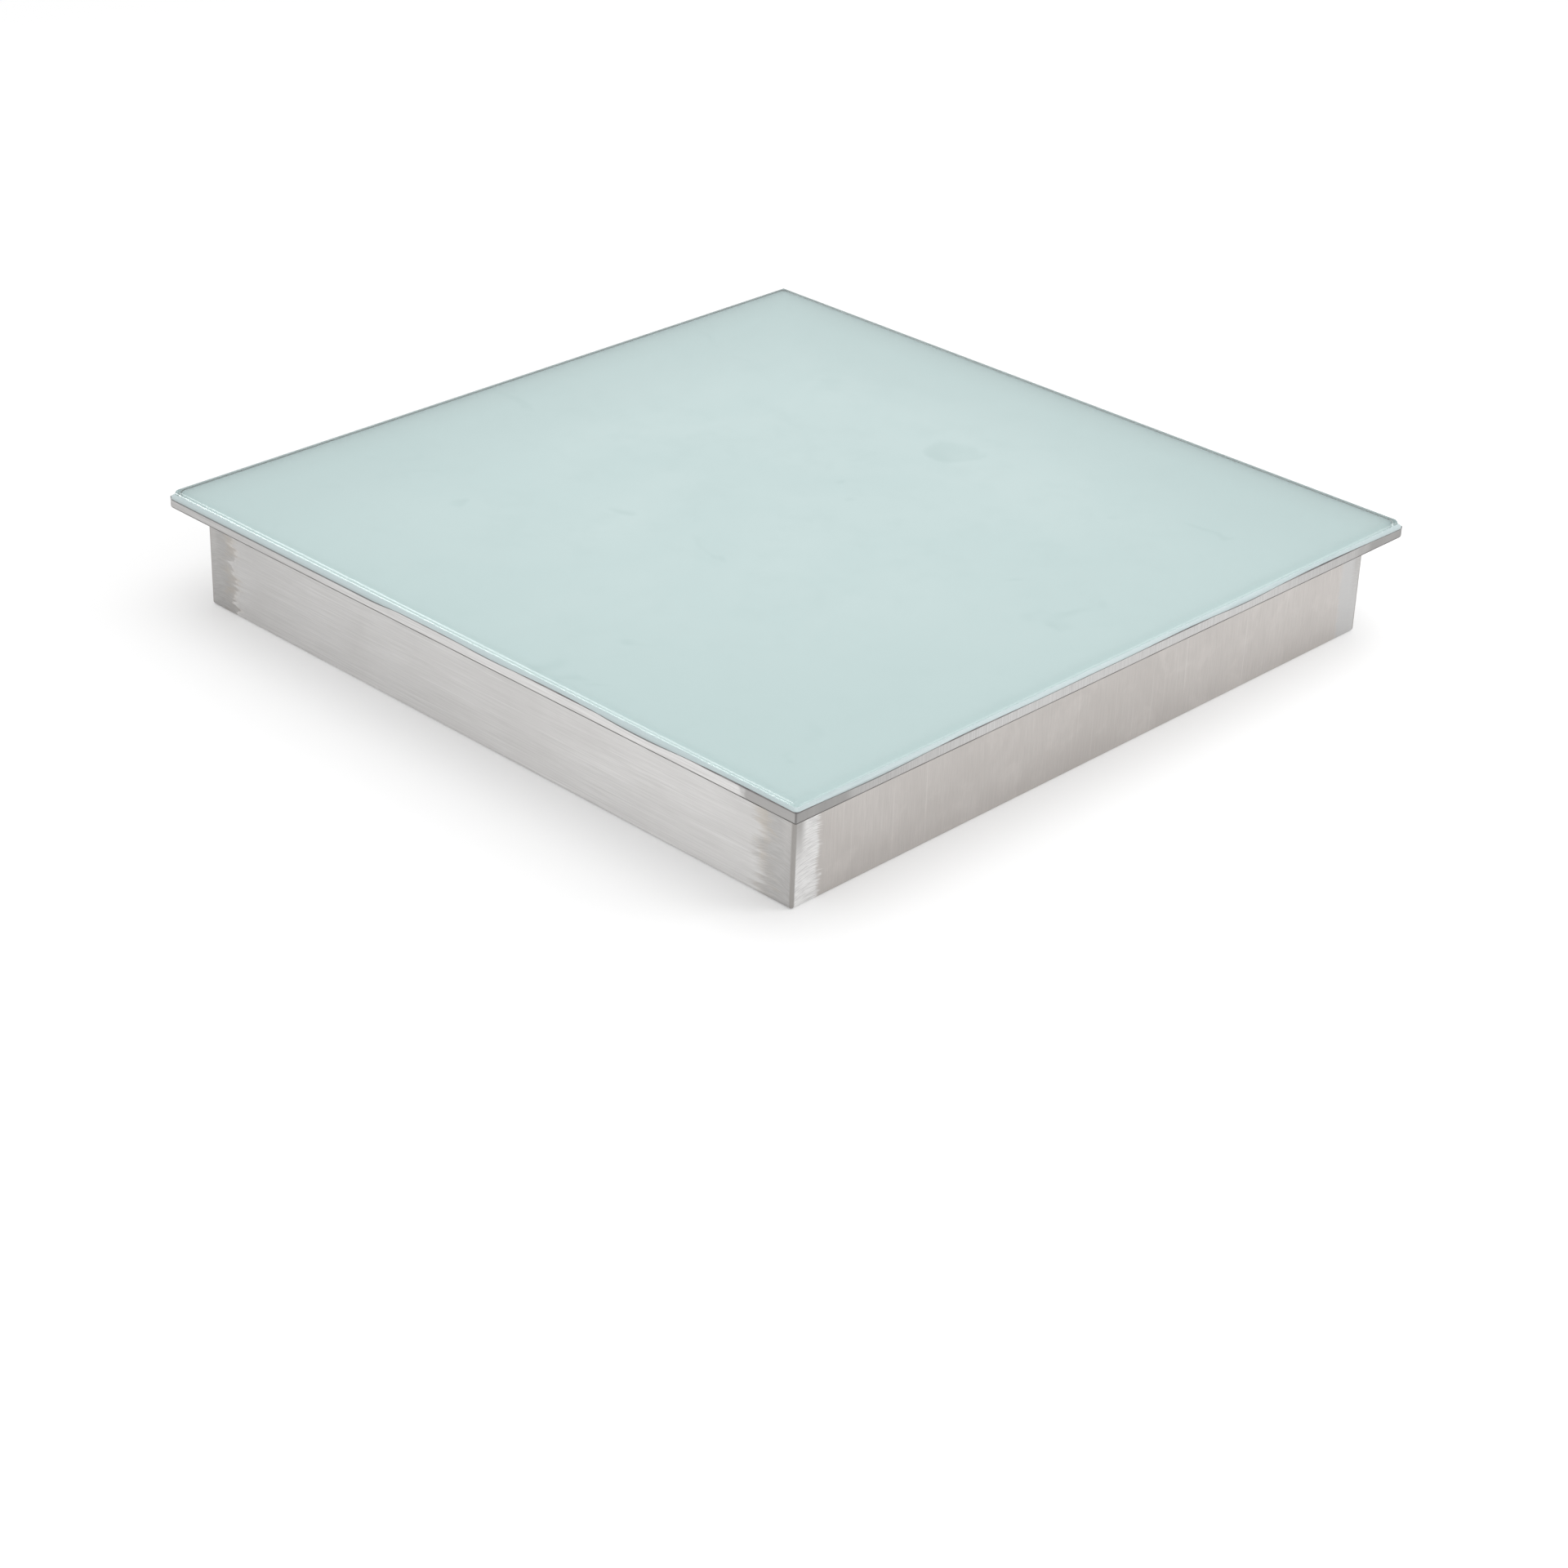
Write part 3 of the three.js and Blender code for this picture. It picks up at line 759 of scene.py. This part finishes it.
    # Painted shade: a dark line along the top edge of the lip, and a darker one along its lower
    # fold.
    colour = blend(tree, times(tree, painted_lip_top_shade, uneven), colour, LIP_TOP_SHADE)
    colour = blend(tree, times(tree, painted_fold_shade, uneven), colour, FOLD_SHADE)
    colour = blend(tree, times(tree, seam, 0.7), colour, grey(0.2, 0.02))
    colour = blend(tree, weld_line, colour, grey(0.38, 0.04))
    colour = blend(tree, straw, colour, STRAW)
    colour = blend(tree, burnt, colour, BURNT_BLUE)
    put(tree, shader.inputs["Base Color"], colour)
    put(tree, shader.inputs["Metallic"], 1.0)

    roughness = step(tree, streaks, 0.3, 0.7, 0.39, 0.43)
    roughness = calc(tree, "MULTIPLY_ADD", clouds, 0.06, roughness)
    roughness = calc(tree, "MULTIPLY_ADD", dressed, 0.06, roughness)
    put(tree, shader.inputs["Roughness"], roughness)
    shader.inputs["Anisotropic"].default_value = 0.8

    across_grain = carried(tree, "across_grain").outputs["Vector"]
    across_stroke = carried(tree, "across_stroke").outputs["Vector"]
    tangent = blend_vectors(tree, ground, across_grain, across_stroke)
    put(tree, shader.inputs["Tangent"], tangent)

    lines = blend(tree, ground, fine, strokes)
    depth = calc(tree, "MULTIPLY_ADD", ground, 0.11, 0.05)
    relief = bump(tree, lines, depth, 0.12 * mm)
    relief = bump(tree, clouds, 0.3, 1.2 * mm, relief)
    put(tree, shader.inputs["Normal"], relief)
    return material


tray.data.materials.append(brushed_sheet())
print("brushed sheet:", len(tray.data.materials[0].node_tree.nodes), "nodes")

# %% [markdown]
# ## Glass over a milky layer
#
# The glass really bends the light here, because the look of the edge depends on it. To light
# what lies under it without waiting for rare light paths, shadow and diffuse rays pass straight
# through with a faint green tint. Wiping has left the faintest clouds on the surface.


# %% Glass and milky layer
GREEN_TINT = (0.93, 0.985, 0.975, 1)
FAINTER_TINT = (0.95, 0.99, 0.985, 1)
SHADOW_TINT = (0.93, 0.98, 0.975, 1)
MILKY, MILKY_LIGHT = (0.504, 0.592, 0.592, 1), (0.530, 0.611, 0.610, 1)
MILKY_CLOUD = (0.47, 0.56, 0.558, 1)
MILKY_OUTER = (0.463, 0.553, 0.552, 1)
MILKY_SPOT = (0.38, 0.48, 0.475, 1)
LIP_SHADE_WIDE = (0.43, 0.515, 0.515, 1)
LIP_SHADE = (0.40, 0.465, 0.465, 1)
EDGE_SHADE = (0.37, 0.43, 0.435, 1)


def clear_glass():
    material, tree, shader = finish_called("clear_glass_pane")
    coords, x, y, z = places(tree)
    wiped = noise(tree, coords, 9, 3, 0.55, 1.2)
    tint = blend(tree, wiped, GREEN_TINT, FAINTER_TINT)
    put(tree, shader.inputs["Base Color"], tint)
    # The round edge is a little duller than the faces. The upright side below it is only ground,
    # so it is slightly white; toward the near corner it is made whiter still, as a painted
    # highlight.
    out = from_axis(tree, x, y)
    inside_round = GLASS_HIGH.x - ROUND_EDGE
    at_edge = step(tree, out, inside_round - 0.3 * mm, inside_round + 0.5 * mm)
    below_round = step(tree, z, GLASS_HIGH.z - 2.6 * mm, GLASS_HIGH.z - 3.2 * mm)
    ground_side = times(tree, step(tree, out, HALF - 2.0 * mm, HALF - 1.7 * mm), below_round)
    roughness = calc(tree, "MULTIPLY_ADD", at_edge, 0.14, step(tree, wiped, 0.4, 0.75, 0.01, 0.06))
    put(tree, shader.inputs["Roughness"], calc(tree, "MULTIPLY_ADD", ground_side, 0.3, roughness))
    shader.inputs["IOR"].default_value = 1.5
    painted_corner_highlight = step(tree, minus(tree, x, y), 1.1 * HALF, 2 * HALF, 0.05, 0.22)
    whitened = times(tree, ground_side, painted_corner_highlight)
    put(tree, shader.inputs["Transmission Weight"], minus(tree, 1, whitened))
    on_face = calc(tree, "MULTIPLY_ADD", at_edge, -0.03, 0.03)
    put(tree, shader.inputs["Normal"], bump(tree, noise(tree, coords, 45, 2), on_face, 0.4 * mm))
    rays = tree.nodes.new("ShaderNodeLightPath")
    clear = tree.nodes.new("ShaderNodeBsdfTransparent")
    clear.inputs[0].default_value = SHADOW_TINT
    shadow, diffuse = rays.outputs["Is Shadow Ray"], rays.outputs["Is Diffuse Ray"]
    mixed = tree.nodes.new("ShaderNodeMixShader")
    put(tree, mixed.inputs[0], calc(tree, "MAXIMUM", shadow, diffuse))
    put(tree, mixed.inputs[1], shader.outputs[0])
    put(tree, mixed.inputs[2], clear.outputs[0])
    put(tree, tree.nodes["Material Output"].inputs["Surface"], mixed.outputs[0])
    return material


def milky_finish():
    material, tree, shader = finish_called("milky_opal_layer")
    coords, x, y, _ = places(tree)
    clouds = noise(tree, coords, 7, 4, 0.55, 1.0)
    small = noise(tree, coords, 38, 3, 0.6)
    # The shade of the lip falls farther in on the two far sides.
    away = calc(tree, "MAXIMUM", times(tree, x, -1), y)
    toward = calc(tree, "MAXIMUM", x, times(tree, y, -1))
    rim = step(tree, away, HALF - 34 * mm, HALF - 3 * mm)
    wide = step(tree, away, HALF - 120 * mm, HALF - 15 * mm, 0, 0.55)
    far_edge = step(tree, away, HALF - 13 * mm, HALF - 1 * mm)
    near_edge = step(tree, toward, HALF - 14 * mm, HALF - 1 * mm, 0, 0.5)
    edge = calc(tree, "MAXIMUM", far_edge, near_edge)
    cloudy = step(tree, clouds, 0.3, 0.7)
    colour = blend(tree, cloudy, MILKY, MILKY_LIGHT)
    colour = blend(tree, step(tree, small, 0.45, 0.75, 0, 0.35), colour, MILKY_CLOUD)
    # The white is evenest in the middle of the pane and falls off a little toward the edges.
    from_middle = distance(tree, plus(tree, x, 40 * mm), minus(tree, y, 30 * mm))
    colour = blend(tree, step(tree, from_middle, 0.10, 0.34, 0, 0.8), colour, MILKY_OUTER)
    spots = step(tree, noise(tree, coords, 24, 2, 0.5, 0.8), 0.66, 0.76, 0, 0.35)
    colour = blend(tree, spots, colour, MILKY_SPOT)
    colour = blend(tree, wide, colour, LIP_SHADE_WIDE)
    colour = blend(tree, times(tree, rim, 0.5), colour, LIP_SHADE)
    colour = blend(tree, times(tree, edge, 0.5), colour, EDGE_SHADE)
    put(tree, shader.inputs["Base Color"], colour)
    put(tree, shader.inputs["Roughness"], step(tree, small, 0.3, 0.7, 0.5, 0.6))
    shader.inputs["Specular IOR Level"].default_value = 0.2
    put(tree, shader.inputs["Normal"], bump(tree, small, 0.1, 0.3 * mm))
    return material


glass.data.materials.append(clear_glass())
milky.data.materials.append(milky_finish())
print("finishes:", glass.data.materials[0].name, milky.data.materials[0].name)

# %% [markdown]
# ## Silicone, tape, rubber, foam and ribs
#
# All but the silicone at the edge sit inside the closed cover, so they are plain, but someone may
# take the cover apart on screen. Each finish says what the stuff is: smooth clear silicone, with
# painted shade along its thin lower rim and down in the gap, soft white foam tape, matt rubber with
# the fine lines of its extrusion, foam with open cells on its cut faces, and laser-cut steel with a
# mill finish.


# %% Inner finishes
def silicone():
    material, tree, shader = finish_called("clear_silicone")
    coords, x, y, z = places(tree)
    clouds = noise(tree, coords, 45, 3)
    # Painted shade: darker where the silicone lies down in the gap below the lip's top, and dark
    # along its thin lower rim.
    painted_gap_shade = step(tree, z, LIP_TOP + 0.3 * mm, LIP_TOP - 0.6 * mm)
    out = from_axis(tree, x, y)
    painted_gap_shade = times(tree, painted_gap_shade, step(tree, out, HALF - 0.5 * mm, HALF - 1.0 * mm))
    rim = step(tree, carried(tree, "rim").outputs["Fac"], 0.35, 0.85)
    colour = blend(tree, clouds, (0.48, 0.58, 0.59, 1), (0.57, 0.65, 0.66, 1))
    colour = blend(tree, painted_gap_shade, colour, (0.52, 0.59, 0.59, 1))
    colour = blend(tree, rim, colour, (0.15, 0.16, 0.16, 1))
    put(tree, shader.inputs["Base Color"], colour)
    put(tree, shader.inputs["Roughness"], step(tree, clouds, 0.3, 0.7, 0.15, 0.25))
    put(tree, shader.inputs["Normal"], bump(tree, clouds, 0.2, 0.4 * mm))
    shader.inputs["Alpha"].default_value = 0.88
    return material


def foam_tape():
    material, tree, shader = finish_called("white_foam_tape")
    coords = places(tree)[0]
    cells = noise(tree, coords, 900, 2)
    put(tree, shader.inputs["Base Color"], blend(tree, cells, grey(0.66, 0.01), grey(0.8, 0.01)))
    put(tree, shader.inputs["Roughness"], step(tree, cells, 0.3, 0.7, 0.7, 0.85))
    put(tree, shader.inputs["Normal"], bump(tree, cells, 0.5, 0.2 * mm))
    return material


def mill_steel():
    material, tree, shader = finish_called("mill_finish_rib_steel")
    coords, x, y, z = places(tree)
    along_rolls = vector(tree, times(tree, x, 60), times(tree, y, 60), times(tree, z, 900))
    rolled = noise(tree, along_rolls, 1, 3)
    stains = noise(tree, coords, 30, 3)
    colour = blend(tree, rolled, grey(0.42, 0.01), grey(0.52, 0.01))
    colour = blend(tree, step(tree, stains, 0.55, 0.75, 0, 0.4), colour, (0.4, 0.36, 0.32, 1))
    put(tree, shader.inputs["Base Color"], colour)
    put(tree, shader.inputs["Metallic"], 1.0)
    put(tree, shader.inputs["Roughness"], step(tree, stains, 0.3, 0.7, 0.36, 0.48))
    put(tree, shader.inputs["Normal"], bump(tree, rolled, 0.2, 0.1 * mm))
    return material


def black_rubber():
    material, tree, shader = finish_called("black_rubber_channel")
    coords, x, y, z = places(tree)
    drawn = noise(tree, vector(tree, x, y, times(tree, z, 30)), 70, 2)
    bloom = noise(tree, coords, 25, 3)
    colour = blend(tree, step(tree, bloom, 0.45, 0.8), grey(0.022), grey(0.06))
    put(tree, shader.inputs["Base Color"], colour)
    put(tree, shader.inputs["Roughness"], step(tree, bloom, 0.3, 0.7, 0.6, 0.8))
    put(tree, shader.inputs["Normal"], bump(tree, drawn, 0.3, 0.2 * mm))
    return material


def cream_foam():
    material, tree, shader = finish_called("cream_rigid_foam")
    coords = places(tree)[0]
    cell = tree.nodes.new("ShaderNodeTexVoronoi")
    put(tree, cell.inputs["Vector"], coords)
    cell.inputs["Scale"].default_value = 600
    cells = cell.outputs["Distance"]
    tone = noise(tree, coords, 14, 3)
    colour = blend(tree, tone, (0.66, 0.58, 0.4, 1), (0.78, 0.71, 0.53, 1))
    colour = blend(tree, step(tree, cells, 0.1, 0.7, 0.25, 0), colour, (0.5, 0.42, 0.27, 1))
    put(tree, shader.inputs["Base Color"], colour)
    put(tree, shader.inputs["Roughness"], step(tree, tone, 0.3, 0.7, 0.85, 0.95))
    put(tree, shader.inputs["Normal"], bump(tree, cells, 0.6, 0.5 * mm))
    return material


silicone_finish = silicone()
seal.data.materials.append(silicone_finish)
finish_of = {
    "bedding_bead": silicone_finish,
    "glazing_tape": foam_tape(),
    "rib_along": mill_steel(),
    "rubber_channel": black_rubber(),
    "foam_block": cream_foam(),
}
dressed_nodes = 0
for name, node in frame["nodes"].items():
    for start, finish in finish_of.items():
        if name.startswith(start):
            node.data.materials.clear()
            node.data.materials.append(finish)
            dressed_nodes += 1
print("CAD nodes given a finish:", dressed_nodes)

# %% [markdown]
# ## Floor and light
#
# The cover stands on a plain pale floor under one large soft lamp and an even pale sky. That is
# enough for the flat faces, but a bright line along an edge needs a lamp in just the right place.
# Two long lamps far to the left draw the two lines on the round edge of the glass, and two on the
# right do it for the glass and the silicone there. Each of the small lamps lights one piece only,
# as if a flag on the set kept it off the others.


# %% Floor, lamps and world
def soft_lamp(name, place, aim, width, height, power):
    data = bpy.data.lights.new(name, "AREA")
    data.shape = "RECTANGLE"
    data.size, data.size_y = width, height
    data.energy = power
    lamp = bpy.data.objects.new(name, data)
    lamp.location = place
    lamp.rotation_euler = (Vector(aim) - Vector(place)).to_track_quat("-Z", "Y").to_euler()
    bpy.context.scene.collection.objects.link(lamp)
    return lamp


def make_floor():
    mesh = bpy.data.meshes.new("floor")
    mesh.from_pydata([(-8, -8, 0), (8, -8, 0), (8, 8, 0), (-8, 8, 0)], [], [(0, 1, 2, 3)])
    floor = bpy.data.objects.new("floor", mesh)
    floor.location.z = -0.05 * mm
    bpy.context.scene.collection.objects.link(floor)
    material, tree, shader = finish_called("pale_floor")
    coords = places(tree)[0]
    colour = blend(tree, noise(tree, coords, 3, 2), grey(0.66), grey(0.67))
    put(tree, shader.inputs["Base Color"], colour)
    put(tree, shader.inputs["Emission Color"], grey(1.0))
    put(tree, shader.inputs["Emission Strength"], 0.24)
    put(tree, shader.inputs["Roughness"], 0.85)
    shader.inputs["Specular IOR Level"].default_value = 0.1
    mesh.materials.append(material)
    return floor


def make_sky():
    world = bpy.data.worlds.new("studio")
    world.use_nodes = True
    tree = world.node_tree
    coords = tree.nodes.new("ShaderNodeTexCoord").outputs["Generated"]
    _, _, up = parts(tree, coords)
    brightness = step(tree, up, -0.05, 0.9, 0.72, 1.02)
    background = tree.nodes["Background"]
    put(tree, background.inputs["Color"], grey(1.0))
    put(tree, background.inputs["Strength"], brightness)
    bpy.context.scene.world = world


def only_on(lamp, piece):
    """Lets a lamp light one piece and nothing else, and keeps it out of sight through glass."""
    chosen = bpy.data.collections.new(lamp.name + "_lights")
    chosen.objects.link(piece)
    lamp.light_linking.receiver_collection = chosen
    lamp.visible_transmission = False


floor = make_floor()
make_sky()
soft_lamp("overhead", (0.2, 0.1, 2.6), (0, 0, 0), 2.4, 2.4, 22)
left_edge, right_edge = (0.05, -0.24, 0.07), (0.24, 0.0, 0.07)
# Name, place, what it is aimed at, width, height, power and the one piece that it lights.
small_lamps = [
    ("left_sheen", (-0.36, -1.15, 0.3), (0.2, -0.24, 0.04), 0.8, 0.5, 3.2, tray),
    ("left_line_high", (-0.85, -1.05, 0.83), left_edge, 1.0, 0.4, 7.0, glass),
    ("left_line_low", (-0.85, -1.05, 0.10), left_edge, 1.0, 0.2, 6.2, glass),
    ("floor_right", (0.95, 0.55, 0.8), (0.5, 0.4, 0), 0.5, 0.5, 3.5, floor),
    ("right_line", (1.14, 0.82, 0.24), right_edge, 1.1, 0.4, 2.4, glass),
    ("right_bead", (0.69, 0.66, 0.70), right_edge, 1.0, 0.25, 1.3, seal),
]
for *lamp, piece in small_lamps:
    only_on(soft_lamp(*lamp), piece)
print("lamps:", 1 + len(small_lamps))
bpy.context.scene.view_settings.view_transform = "Standard"

# %% [markdown]
# ## The camera
#
# It looks down at the near corner from about thirty degrees up, with a longish lens, and is
# tipped by two degrees, as a hand-held camera often is.

# %% Camera
azimuth, elevation, roll = math.radians(43.5205), math.radians(28.8096), math.radians(2.0101)
LENS, SENSOR = 78.251, 36
# How far off it stands, and how far to the left and down, in widths of the cover.
FAR_OFF, TO_THE_LEFT, DOWN = 3.9125, 0.0050, 0.2996
level_part = math.cos(elevation)
back = Vector((math.sin(azimuth) * level_part, -math.cos(azimuth) * level_part, 0))
back.z = math.sin(elevation)
level = Vector((math.cos(azimuth), math.sin(azimuth), 0))
upright = back.cross(level)
right = level * math.cos(roll) + upright * math.sin(roll)
upward = upright * math.cos(roll) - level * math.sin(roll)
camera_data = bpy.data.cameras.new("camera")
camera_data.lens, camera_data.sensor_width = LENS, SENSOR
camera = bpy.data.objects.new("camera", camera_data)
place = (back * FAR_OFF - right * TO_THE_LEFT - upward * DOWN) * 2 * HALF
place += Vector((0, 0, FLANGE))
turn = Matrix((right, upward, back)).transposed().to_4x4()
camera.matrix_world = Matrix.Translation(place) @ turn
camera_data.clip_start, camera_data.clip_end = 0.05, 50
bpy.context.scene.collection.objects.link(camera)
bpy.context.scene.camera = camera

# %% Update the scene
bpy.context.view_layer.update()
